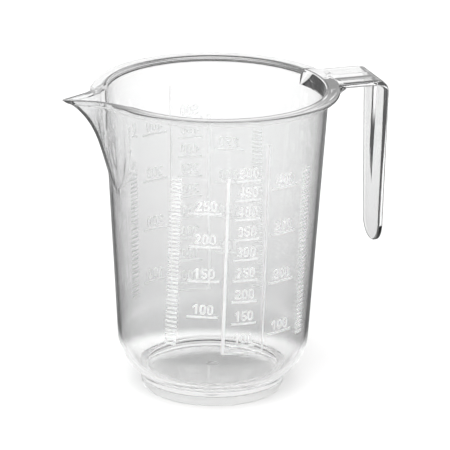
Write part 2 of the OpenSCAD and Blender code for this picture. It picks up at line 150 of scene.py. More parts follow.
class JugVesselSizes(bpy.types.PropertyGroup):
    """Sizes of the wall, the floor, the foot and the rim"""

    height: length("Height", "From the foot's underside to the top of the rim", CAD_BOX[1][2] / MM)
    rim_d: length("Rim diameter", "Outer diameter of the rim", 2 * CAD_BOX[1][1] / MM)
    rim_w: length("Rim overhang", "How far the rim stands out from the wall", 4.5)
    rim_t: length("Rim thickness", "Thickness of the rim", 2.2)
    rim_edge_r: length("Rim edge", "Radius of the rim's outer edges", 0.9)
    rim_inner_r: length("Rim inner edge", "Radius of the rim's inner edge", 0.6)
    rim_fillet: length("Rim fillet", "Fillet between the rim's underside and the wall", 1.8)
    base_d: length("Base diameter", "Diameter of the wall, carried on to the floor's underside", 78.4)
    wall_t: length("Wall thickness", "Thickness of the wall", 1.4)
    floor_t: length("Floor thickness", "Thickness of the floor", 2.0)
    floor_rise: length("Floor rise", "How far the middle of the floor is raised", 1.6)
    curve_r: length("Lower edge", "Outer radius of the rounded lower edge", 19.2)
    foot_h: length("Foot height", "Height of the hollow under the edge of the floor", 4.2)
    foot_d: length("Foot diameter", "Outer diameter of the foot at its underside", 59.5)
    foot_t: length("Foot land", "Width of the foot's land", 1.8)
    foot_edge_r: length("Foot edge", "Radius of the edges under the foot", 0.6)
    foot_lean: angle("Foot lean", "How far the foot's outside leans out upwards", 13.0)
    well_h: length("Well depth", "Depth of the well inside the foot, down to the floor", 3.3)
    well_edge_r: length("Well edge", "Radius of the well's upper edge", 0.9)
    gate_d: length("Gate ring", "Diameter of the moulding ring in the floor's middle", 5.4)
    gate_band: length("Gate band", "Width of the moulding ring's band", 0.9)
    gate_h: length("Gate height", "Height of the moulding ring", 0.4)
    mark_gap: length("Mark gap", "Air between the wall and the raised marks, to keep their faces apart", 0.02)
    columns: IntProperty(
        name="Columns", description="Columns round the wall, outside the lip", default=216, min=24
    )


class JugLipSizes(bpy.types.PropertyGroup):
    """Sizes of the pouring lip"""

    reach: length("Reach", "How far the tip stands out from the wall", 19.3)
    throat: length("Throat", "Part of the reach that grows evenly from the toe upwards", 9.5)
    height: length("Height", "From the lip's toe to the top of the rim", 40.0)
    width: length("Width", "Width where the lip leaves the wall under the rim", 26.4)
    thickness: length("Thickness", "Thickness of the lip's flanks", 1.4)
    keel_tip_r: length("Keel at the tip", "Rounding of the keel at the tip", 1.2)
    keel_toe_r: length("Keel at the toe", "Rounding of the keel at the toe", 30.0)
    edge_r: length("Edge", "Rounding of the lip's upper edges", 0.4)
    bead: length("Bead", "How far the rounded band along the lip's upper edge stands out", 1.0)
    bead_h: length("Bead height", "Height of the band along the lip's upper edge", 2.4)
    blend: length("Blend", "Softness of the lip's line on the wall, at its toe", 1.2)
    blend_top: length("Upper blend", "Softness of the lip's line on the wall, under the rim", 6.0)


class JugHandleSizes(bpy.types.PropertyGroup):
    """Sizes of the hanging handle"""

    reach: length("Reach", "From the jug's middle to the outer face of the grip", CAD_BOX[1][0] / MM)
    width: length("Width", "Width of the arm and of the top of the grip", 24.4)
    thickness: length("Thickness", "Thickness of the handle's plate", 2.2)
    bend_r: length("Bend", "Outer radius of the bend", 5.0)
    height: length("Height", "From the top of the rim to the grip's lower end", 74.0)
    end_w: length("End width", "Width of the grip at its rounded lower end", 18.4)
    edge_r: length("Edge", "Rounding of the plate's edges", 0.7)
    rib_w: length("Rib width", "Width of the stiffening rib", 7.2)
    rib_h: length("Rib height", "How far the rib stands out from the plate", 1.2)
    rib_drop: length("Rib drop", "From the top of the rim to where the rib runs out", 49.0)
    root_h: length("Wedge height", "Height of the wedge under the arm, along the wall", 5.0)
    root_len: length("Wedge length", "Length of the wedge under the arm", 6.5)
    root_w: length("Wedge width", "Width of the wedge along the wall", 32.0)


class JugFinish(bpy.types.PropertyGroup):
    """Colours and surface finish, with painted shade at the plastic's edges and painted glows"""

    clear_tint: colour("Clear plastic", "Tint of the plastic seen square on", (0.903, 0.905, 0.905))
    # Painted shade: the plastic is darker where it is seen aslant and along its surface
    aslant_tint_with_painted_shade: colour("Plastic aslant", "Tint of the plastic seen aslant", (0.885, 0.885, 0.885))
    edge_tint_with_painted_shade: colour("Plastic edge", "Tint of the plastic seen along its surface", (0.8, 0.805, 0.81))
    ior: amount("Refraction", "Index of refraction of the plastic", 1.57)
    polish: share("Polish roughness", "Roughness of the polished plastic", 0.02)
    # Painted glow: brightness of the emission that stands in for light led along inside the plastic
    painted_led_glow: share("Led light", "Brightness of the light led along inside the plastic", 0.92)
    mark_tint: colour("Raised marks", "Tint of the frosted marks", (0.97, 0.975, 0.975))
    mark_roughness: share("Mark roughness", "Roughness of the frosted marks", 0.34)
    mark_clear: share("Mark clearness", "Share of light that the frosted marks let through", 0.9)
    # Painted glow: light that the marks give off of their own
    mark_painted_glow: share("Mark glow", "Light that the frosted marks gather from the wall and give off", 0.11)
    waviness: share("Waviness", "Strength of the moulding's faint waves", 0.05)


class JugStage(bpy.types.PropertyGroup):
    """Floor, light and camera"""

    floor_tint: colour("Floor", "Colour of the floor", (0.9, 0.9, 0.9))
    # On the floor, a painted dark reflection away from the jug
    mirrored: share("Mirrored floor", "Share of the far floor's brightness left in its mirror image", 0.1)
    plinth: length("Plinth", "How far from the jug's axis the floor is mirrored in full", 60.0)
    # Painted light and shade on the floor round the jug and inside its foot
    under: share("Under the jug", "Brightness inside the foot, as a share of the lit floor's", 0.76)
    shade: share("Floor shade", "Brightness round the jug, as a share of the lit floor's", 0.53)
    open_floor: share("Open floor", "Brightness further away, as a share of the lit floor's", 0.612)
    floor_size: length("Floor size", "Half the width of the floor", 6000.0)
    key_strength: amount("Key light", "Strength of the soft light overhead", 7.0)
    key_spread: angle("Key spread", "Apparent size of the soft light overhead", 60.0)
    fill_strength: amount("Fill light", "Strength of the soft light from the front", 0.98)
    sky: amount("Backdrop", "Strength of the lit backdrop behind the jug, where it is mirrored", 1.08)
    backdrop: angle("Backdrop direction", "Turn of the lit backdrop round the jug, from +Y", -19.8)
    ambient: amount("Ambient light", "Strength of the surroundings, as light on the floor", 0.245)
    azimuth: angle("Azimuth", "Direction of the camera round the jug", -19.8)
    elevation: angle("Elevation", "Height of the camera above the horizon", 18.696)
    roll: angle("Roll", "Turn of the camera about its own axis", 0.85)
    distance: length("Distance", "Distance from the camera to its target", 1615.7)
    target_side: length("Target aside", "Distance of the target from the jug's axis, to the right", 4.44)
    target_up: length("Target height", "Height of the target", 70.26)
    lens: FloatProperty(
        name="Lens", description="Focal length of the camera", default=307.5, min=1.0, unit="CAMERA"
    )


def millimetres(group):
    """The group's lengths in millimetres, and its other values as they are."""
    values = {}
    for key, prop in group.bl_rna.properties.items():
        if key in ("rna_type", "name"):
            continue
        value = getattr(group, key)
        values[key] = value / MM if getattr(prop, "unit", "NONE") == "LENGTH" else value
    return type("Sizes", (), values)


def arc(centre, radius, start, end, steps):
    """Points on an arc in the plane of a profile, angles in degrees."""
    turn = np.radians(np.linspace(start, end, steps + 1))
    return [(centre[0] + radius * math.cos(t), centre[1] + radius * math.sin(t)) for t in turn]


def between(start, end, steps):
    """Points after start, up to and with end, on a straight line."""
    return [
        (start[0] + (end[0] - start[0]) * i / steps, start[1] + (end[1] - start[1]) * i / steps)
        for i in range(1, steps + 1)
    ]


def levels(ends, steps):
    """Values in even steps from each end to the next, without the first end."""
    made = []
    for start, end, count in zip(ends, ends[1:], steps):
        made.extend(np.linspace(start, end, count + 1)[1:])
    return made


def smooth_step(x):
    """0 below 0, 1 above 1, and an even curve between."""
    x = np.clip(x, 0.0, 1.0)
    return x * x * (3 - 2 * x)


def new_mesh_object(name, vertices, faces):
    """A mesh object from points in millimetres, its duplicate points joined and its normals outwards."""
    mesh = bpy.data.meshes.new(name)
    mesh.from_pydata([tuple(c * MM for c in v) for v in vertices], [], faces)
    work = bmesh.new()
    work.from_mesh(mesh)
    bmesh.ops.remove_doubles(work, verts=work.verts, dist=SAME_POINT)
    bmesh.ops.dissolve_degenerate(work, dist=NO_LENGTH, edges=work.edges)
    bmesh.ops.recalc_face_normals(work, faces=work.faces)
    if any(not edge.is_manifold for edge in work.edges):
        raise RuntimeError(f"{name} isn't closed")
    work.to_mesh(mesh)
    work.free()
    made = bpy.data.objects.new(name, mesh)
    bpy.context.scene.collection.objects.link(made)
    return made


def join_solids(base, others):
    """base becomes the union of itself and the other solids, which are removed."""
    for other in others:
        union = base.modifiers.new("union", "BOOLEAN")
        union.operation = "UNION"
        union.solver = "MANIFOLD"
        union.object = other
    bpy.context.view_layer.update()
    graph = bpy.context.evaluated_depsgraph_get()
    joined = bpy.data.meshes.new_from_object(base.evaluated_get(graph))
    if len(joined.polygons) <= len(base.data.polygons) // 2:
        raise RuntimeError("the union of the moulding's solids failed")
    base.modifiers.clear()
    old = base.data
    base.data = joined
    bpy.data.meshes.remove(old)
    for other in others:
        mesh = other.data
        bpy.data.objects.remove(other)
        bpy.data.meshes.remove(mesh)


class Lip:
    """Sections of the pouring lip, in millimetres. s runs from 0 at the toe to 1 at the rim."""

    # Lowest s with a section of its own
    START = 0.03
    # How steeply the keel's reach and the flanks' width grow with s
    KEEL_POWER = 5
    FLANK_POWER = 0.38
    # Share of the half width at which the keel's rounding passes into the straight flank
    KNEE = 0.5755
    # Least rise of the channel's middle over its knee, and its rounding as a share of the keel's
    CHANNEL_RISE = 0.02
    CHANNEL_KEEL = 0.6

    def __init__(self, sizes, wall_r, wall_in, rim_zone, top):
        self.sizes = sizes
        self.wall_r = wall_r
        self.wall_in = wall_in
        self.low = top - sizes.height
        self.hold = (rim_zone - self.low) / sizes.height

    def share_of(self, z):
        return (z - self.low) / self.sizes.height

    def depth(self, s):
        sizes = self.sizes
        return sizes.throat * s + (sizes.reach - sizes.throat) * s ** self.KEEL_POWER

    def half(self, s):
        held = min(max(s, self.START), self.hold)
        return self.sizes.width / 2 * (held / self.hold) ** self.FLANK_POWER

    def keel(self, s):
        sizes = self.sizes
        return sizes.keel_toe_r + (sizes.keel_tip_r - sizes.keel_toe_r) * s

    @staticmethod
    def ridge(y, apex, through, rounding):
        slope = math.sqrt((apex - through[0] + rounding) ** 2 - rounding ** 2) / through[1]
        return apex + rounding - np.sqrt((slope * y) ** 2 + rounding ** 2)

    def frame_of(self, s):
        """Apex, knee and foot of the outside at s, seen from the jug's axis."""
        held = min(s, self.hold)
        wall = self.wall_r(self.low + self.sizes.height * held)
        half = self.half(s)
        foot = np.array([math.sqrt(wall * wall - half * half), half])
        knee_y = self.KNEE * half
        knee = np.array([self.ridge(knee_y, wall + self.depth(held), foot, self.keel(held)), knee_y])
        apex = self.wall_r(self.low + self.sizes.height * s) + self.depth(s)
        return apex, knee, foot

    @staticmethod
    def bow(y, apex, knee, foot, rounding):
        y = np.abs(y)
        flank = knee[0] + (y - knee[1]) * (foot[0] - knee[0]) / (foot[1] - knee[1])
        return np.where(y <= knee[1], Lip.ridge(y, apex, knee, rounding), flank)

    def outside(self, y, z):
        """Distance of the outside from the jug's axis plane, at y and height z."""
        s = self.share_of(z)
        used = max(s, self.START)
        apex, knee, foot = self.frame_of(used)
        x = self.bow(y, apex, knee, foot, self.keel(used))
        return x - self.sunk(s, used, self.wall_r)

    def inside(self, y, z):
        """The same for the channel, a flank's thickness inside the outside."""
        s = self.share_of(z)
        used = max(s, self.START)
        apex, knee, foot = self.frame_of(used)
        thick = self.sizes.thickness
        along = (foot - knee) / np.linalg.norm(foot - knee)
        normal = np.array([along[1], -along[0]])
        wall_along = np.array([-foot[1], foot[0]]) / np.linalg.norm(foot)
        bend = math.acos(np.clip(along @ wall_along, -1, 1))
        tip = math.atan2(knee[1], apex - knee[0])
        inner_knee = knee - thick * normal
        half = foot[1] - thick * math.tan(bend / 2)
        wall = self.wall_in(self.low + self.sizes.height * min(used, self.hold))
        inner_foot = np.array([math.sqrt(wall * wall - half * half), half])
        inner_apex = max(apex - thick / math.sin(tip), inner_knee[0] + self.CHANNEL_RISE)
        x = self.bow(y, inner_apex, inner_knee, inner_foot, self.CHANNEL_KEEL * self.keel(used))
        return x - self.sunk(s, used, self.wall_in)

    def sunk(self, s, used, radius):
        """How far a section below the toe's start sinks back into the wall."""
        sizes = self.sizes
        if s >= used:
            return 0.0
        drop = radius(self.low + sizes.height * used) - radius(self.low + sizes.height * s)
        return drop + sizes.throat * (used - s)


class Vessel:
    """The round wall with its foot, floor, rim and lip as one closed grid of rows, in millimetres."""

    # Columns over half the lip, as shares of their spread: crowded at the keel, then even from end to end
    KEEL_END, KEEL_COLUMNS, KEEL_CROWDING = 0.15, 10, 1.5
    LIP_ENDS, LIP_COLUMNS = (KEEL_END, 0.55, 0.8, 1.0), (12, 12, 6)
    # Spread of those columns to each side: in half widths of the lip, and at most this share of the radius
    LIP_SPREAD, MOST_SPREAD = 2.0, 0.46
    # Radius from which a plain row's columns have their full spread
    FULL_SPREAD_R = 40
    # Rows of the wall below, beside and above the lip's toe, on the outside and the inside
    TOE_BELOW, TOE_ABOVE = 7, 6
    WALL_ROWS, INNER_ROWS = (29, 26, 31), (35, 26, 29)
    # Height over which the marks' air opens above the lower edge
    AIR_RUN = 2
    # Rows over half the floor, and the rounding in its corners
    FLOOR_ROWS, CORNER_R = 24, 0.4
    # Half the height of the soft notch over the foot, and the steps of its curve
    NOTCH_SOFT, NOTCH_STEPS = 0.35, 5
    # The moulding ring: its rounding, the floor's row outside it, and its rows inside it
    RING_R, RING_OUTSIDE, RING_INSIDE, RING_MIDDLE = 0.12, 0.25, 0.3, 0.6
    # Share of the rim's flange left at the lip, and where it grows again, in half widths of the lip
    FLANGE_LEFT, FLANGE_FROM, FLANGE_RUN = 0.06, 0.72, 0.48
    # The lip's soft line: how far below the toe it fades, its fade at the columns' ends, its share at the
    # keel, the half width from which it is full, and the share of the lip's height at which it is widest
    FADE, END_FADE, KEEL_BLEND, FULL_BLEND_HALF, BLEND_RUN = 0.16, 0.3, 0.15, 9.0, 0.6
    LEAST_BLEND = 1e-6
    # Share of the bead's height over which it swells
    BEAD_RUN = 0.4

    def __init__(self, sizes, lip_sizes):
        self.sizes = sizes
        self.lip_sizes = lip_sizes
        mouth_r = sizes.rim_d / 2 - sizes.rim_w
        self.slope = (mouth_r - sizes.base_d / 2) / (sizes.height - sizes.foot_h)
        self.tilt = math.atan(self.slope)
        self.side = sizes.wall_t / math.cos(self.tilt)
        self.rim_low = sizes.height - sizes.rim_t
        self.rim_zone = self.rim_low - sizes.rim_fillet
        self.floor_z = sizes.foot_h + sizes.floor_t
        self.foot_r = sizes.foot_d / 2
        self.foot_in = self.foot_r - sizes.foot_t
        self.inner_curve = sizes.curve_r - sizes.wall_t
        self.curve_c = self.curve_middle(self.wall_r, sizes.foot_h, sizes.curve_r)
        self.inner_c = self.curve_middle(self.inner_r, self.floor_z, self.inner_curve)
        self.lip = Lip(lip_sizes, self.wall_r, self.inner_r, self.rim_zone, sizes.height)
        self.toe_zone = (self.lip.low - self.TOE_BELOW, self.lip.low + self.TOE_ABOVE)
        keel = np.arange(self.KEEL_COLUMNS + 1) / self.KEEL_COLUMNS
        half = list(self.KEEL_END * keel ** self.KEEL_CROWDING) + levels(self.LIP_ENDS, self.LIP_COLUMNS)
        self.lip_columns = np.array([-x for x in reversed(half[1:])] + half)

    def curve_middle(self, wall, low, radius):
        """Middle of a rounded lower edge that touches the height low and the wall."""
        z = low + radius
        return (wall(z) - radius / math.cos(self.tilt), z)

    def wall_r(self, z):
        return self.sizes.base_d / 2 + self.slope * (z - self.sizes.foot_h)

    def inner_r(self, z):
        return self.wall_r(z) - self.side

    def dome(self, r, base):
        """Height of a face of the domed floor, whose edge is at the height base."""
        rise = self.sizes.floor_rise
        ball = (self.foot_in ** 2 + rise ** 2) / (2 * rise)
        return base + rise - ball + math.sqrt(ball * ball - r * r)

    def underside(self):
        """The floor's underside, the foot's inside and its land, up to the foot's leaning outside."""
        sizes, edge, soft = self.sizes, self.sizes.foot_edge_r, self.CORNER_R
        inner = self.foot_in - soft
        points = [(r, self.dome(r, sizes.foot_h)) for r in np.linspace(0, inner, self.FLOOR_ROWS)]
        points += arc((inner, self.dome(inner, sizes.foot_h) - soft), soft, 90, 0, 5)[1:]
        points += between(points[-1], (self.foot_in, edge), 4)
        points += arc((self.foot_in + edge, edge), edge, 180, 270, 6)[1:]
        return points + arc((self.foot_r - edge, edge), edge, 270, 360 - math.degrees(sizes.foot_lean), 6)

    def lower_edge(self, start):
        """The foot's leaning outside, the soft notch over it and the rounded lower edge."""
        (mid_r, mid_z), radius, soft = self.curve_c, self.sizes.curve_r, self.NOTCH_SOFT
        lean = math.tan(self.sizes.foot_lean)

        def lean_r(z):
            return start[0] + (z - start[1]) * lean

        off, square = lean_r(mid_z) - mid_r, 1 + lean * lean
        notch_z = mid_z - (off * lean + math.sqrt(square * radius ** 2 - off * off)) / square
        low, high = notch_z - soft, notch_z + soft
        before, corner = (lean_r(low), low), (lean_r(notch_z), notch_z)
        after = (mid_r + math.sqrt(radius ** 2 - (high - mid_z) ** 2), high)
        points = between(start, before, 5)
        for t in np.linspace(0, 1, self.NOTCH_STEPS + 1)[1:-1]:
            shares = ((1 - t) ** 2, 2 * t * (1 - t), t * t)
            points.append(tuple(np.dot(shares, (before, corner, after))))
        first = math.degrees(math.atan2(high - mid_z, after[0] - mid_r))
        return points + arc(self.curve_c, radius, first, -math.degrees(self.tilt), 26)

    def outer_wall(self, start):
        """The wall's outside, set back by the marks' air."""
        return [
            (self.wall_r(z) - self.sizes.mark_gap * smooth_step((z - start) / self.AIR_RUN), z)
            for z in levels((start, *self.toe_zone, self.rim_zone), self.WALL_ROWS)
        ]

    def rim(self):
        """The rim's fillet and flange, its outer edge, its top and its inner edge, each with its kind."""
        sizes, low, top = self.sizes, self.rim_low, self.sizes.height
        edge, turn = sizes.rim_edge_r, sizes.rim_inner_r
        fillet_c = (self.wall_r(self.rim_zone) + sizes.rim_fillet / math.cos(self.tilt), self.rim_zone)
        edge_r = sizes.rim_d / 2 - edge
        inner_c = (self.inner_r(top - turn) + turn, top - turn)
        flange = arc(fillet_c, sizes.rim_fillet, 180 - math.degrees(self.tilt), 90, 7)[1:]
        flange += between((fillet_c[0], low), (edge_r, low), 3)
        flange += arc((edge_r, low + edge), edge, -90, 0, 6)[1:]
        return (
            ("flange", flange),
            ("edge_out", arc((edge_r, top - edge), edge, 0, 90, 6)),
            ("top", between((edge_r, top), (inner_c[0], top), 6)[:-1]),
            ("edge_in", arc(inner_c, turn, 90, 180, 6)),
        )

    def inner_wall(self):
        """The wall's inside, from the rim's inner edge down to the rounded lower edge."""
        low = self.inner_c[1] - self.inner_curve * math.sin(self.tilt)
        ends = (self.sizes.height - self.sizes.rim_inner_r, *reversed(self.toe_zone), low)
        return [(self.inner_r(z), z) for z in levels(ends, self.INNER_ROWS)]

    def well(self):
        """The lower edge's inside, the ledge, the well's side and the floor up to the moulding ring."""
        sizes, (mid_r, mid_z), radius, soft = self.sizes, self.inner_c, self.inner_curve, self.CORNER_R
        turn, inner = sizes.well_edge_r, self.foot_in - soft
        ledge_z = self.floor_z + sizes.well_h
        ledge_r = mid_r + math.sqrt(radius ** 2 - (mid_z - ledge_z) ** 2)
        ledge_at = math.degrees(math.asin((mid_z - ledge_z) / radius))
        corner_z = self.dome(inner, self.floor_z) + soft
        points = arc(self.inner_c, radius, -math.degrees(self.tilt), -ledge_at, 24)[1:]
        points += between((ledge_r, ledge_z), (self.foot_in + turn, ledge_z), 5)
        points += arc((self.foot_in + turn, ledge_z - turn), turn, 90, 180, 8)[1:]
        points += between((self.foot_in, ledge_z - turn), (self.foot_in, corner_z), 5)
        points += arc((inner, corner_z), soft, 0, -90, 5)[1:]
        across = np.linspace(inner, sizes.gate_d / 2 + self.RING_OUTSIDE, self.FLOOR_ROWS)[1:]
        return points + [(r, self.dome(r, self.floor_z)) for r in across]

    def moulding_ring(self):
        """The ring in the floor's middle, and the flat inside it."""
        sizes, soft = self.sizes, self.RING_R
        outer, inner = sizes.gate_d / 2, sizes.gate_d / 2 - sizes.gate_band
        low = self.dome(outer, self.floor_z)
        high = low + sizes.gate_h - soft
        points = [(outer, low)] + arc((outer - soft, high), soft, 0, 90, 3)
        points += arc((inner + soft, high), soft, 90, 180, 3)
        return points + [(r, low) for r in (inner, inner - self.RING_INSIDE, self.RING_MIDDLE, 0.0)]

    def sections(self):
        """Kinds of rows with their points (radius, height), from the floor's underside round the rim to
        the floor."""
        under = self.underside()
        under += self.lower_edge(under[-1])
        return (
            ("plain", under),
            ("wall", self.outer_wall(under[-1][1])),
            *self.rim(),
            ("inner", self.inner_wall()),
            ("plain", self.well() + self.moulding_ring()),
        )

    def plain_row(self, r, z, half):
        spread = min(self.LIP_SPREAD * half, self.MOST_SPREAD * r)
        y = self.lip_columns * spread
        x = np.sqrt(r * r - y * y)
        start = math.asin(spread / r)
        turn = np.linspace(start, 2 * math.pi - start, self.sizes.columns + 2)[1:-1]
        xs = np.concatenate([x, r * np.cos(turn)])
        ys = np.concatenate([y, r * np.sin(turn)])
        return xs, ys, np.full(len(xs), z)

    def lip_row(self, r, z, lip_z, bow, inset, flange):
        """A row of radius r that gives way to the lip's bow at height lip_z where that stands further out.
        The rim's flange runs out towards the lip."""
        half = self.lip.half(max(self.lip.share_of(z), 0))
        xs, ys, zs = self.plain_row(r, z, half)
        n = len(self.lip_columns)
        y = ys[:n]
        beside = np.abs(y) / half
        if flange:
            wall = self.wall_r(z)
            grown = smooth_step((beside - self.FLANGE_FROM) / self.FLANGE_RUN)
            kept = self.FLANGE_LEFT + (1 - self.FLANGE_LEFT) * grown
            xs[:n] = np.sqrt((wall + (r - wall) * kept) ** 2 - y * y)
        s = self.lip.share_of(lip_z)
        if s <= -self.FADE:
            return xs, ys, zs
        inside = smooth_step((1 - np.abs(self.lip_columns)) / self.END_FADE)
        inside = inside * smooth_step((s + self.FADE) / self.FADE)
        off_keel = self.KEEL_BLEND + (1 - self.KEEL_BLEND) * smooth_step(beside)
        soft = self.softness(lip_z) * min(1.0, half / self.FULL_BLEND_HALF) * inside * off_keel
        out = bow(y, lip_z) - inset
        gap = out - xs[:n]
        root = np.sqrt(gap * gap + np.maximum(soft, self.LEAST_BLEND) ** 2)
        weight = 0.5 * (1 + gap / root)
        xs[:n] = 0.5 * (out + xs[:n] + root)
        zs[:n] = z + (lip_z - z) * weight
        return xs, ys, zs

    def softness(self, z):
        s = smooth_step(self.lip.share_of(z) / self.BLEND_RUN)
        return self.lip_sizes.blend + (self.lip_sizes.blend_top - self.lip_sizes.blend) * s

    def bead(self, z):
        low, height = self.sizes.height - self.lip_sizes.bead_h, self.lip_sizes.bead_h
        return self.lip_sizes.bead * smooth_step((z - low) / (self.BEAD_RUN * height))

    def row(self, kind, r, z, t):
        """The row at a point of a section, where t is the share of the section's points gone by."""
        lip, edge, top = self.lip, self.lip_sizes.edge_r, self.sizes.height
        if kind == "plain":
            return self.plain_row(r, z, lip.half(0) * min(1.0, r / self.FULL_SPREAD_R))
        lip_z, inset = z, 0.0
        sine, cosine = math.sin(math.pi / 2 * t), math.cos(math.pi / 2 * t)
        if kind == "flange":
            lip_z = self.rim_zone + (top - edge - self.rim_zone) * t
            inset = -self.bead(lip_z)
        elif kind == "edge_out":
            lip_z = top - edge * (1 - sine)
            inset = edge * (1 - cosine) - self.lip_sizes.bead
        elif kind == "edge_in":
            lip_z = top - edge * (1 - cosine)
            inset = -edge * (1 - sine)
        bow = lip.inside if kind in ("edge_in", "inner") else lip.outside
        return self.lip_row(r, z, lip_z, bow, inset, flange=kind in ("flange", "edge_out"))

    def rows(self):
        """All rows. Those on the rim's top lie evenly between its two edges."""
        made = []
        for kind, points in self.sections():
            count = len(points)
            for i, (r, z) in enumerate(points):
                t = (i + 1) / (count + 1) if kind == "flange" else i / (count - 1)
                if kind == "top":
                    made.append(None)
                elif r == 0.0:
                    made.append((np.zeros(1), np.zeros(1), np.array([z])))
                else:
                    made.append(self.row(kind, r, z, t))
        holes = [i for i, row in enumerate(made) if row is None]
        first, last = made[holes[0] - 1], made[holes[-1] + 1]
        for n, i in enumerate(holes):
            t = (n + 1) / (len(holes) + 1)
            made[i] = tuple(a + (b - a) * t for a, b in zip(first, last))
        return made

    def solid(self, name):
        vertices, faces, starts = [], [], []
        for xs, ys, zs in self.rows():
            starts.append((len(vertices), len(xs)))
            vertices.extend(zip(-xs, ys, zs))
        for (a, n), (b, m) in zip(starts, starts[1:]):
            for i in range(max(n, m)):
                j = (i + 1) % max(n, m)
                if n == 1:
                    faces.append((a, b + i, b + j))
                elif m == 1:
                    faces.append((a + i, b, a + j))
                else:
                    faces.append((a + i, b + i, b + j, a + j))
        return new_mesh_object(name, vertices, faces)


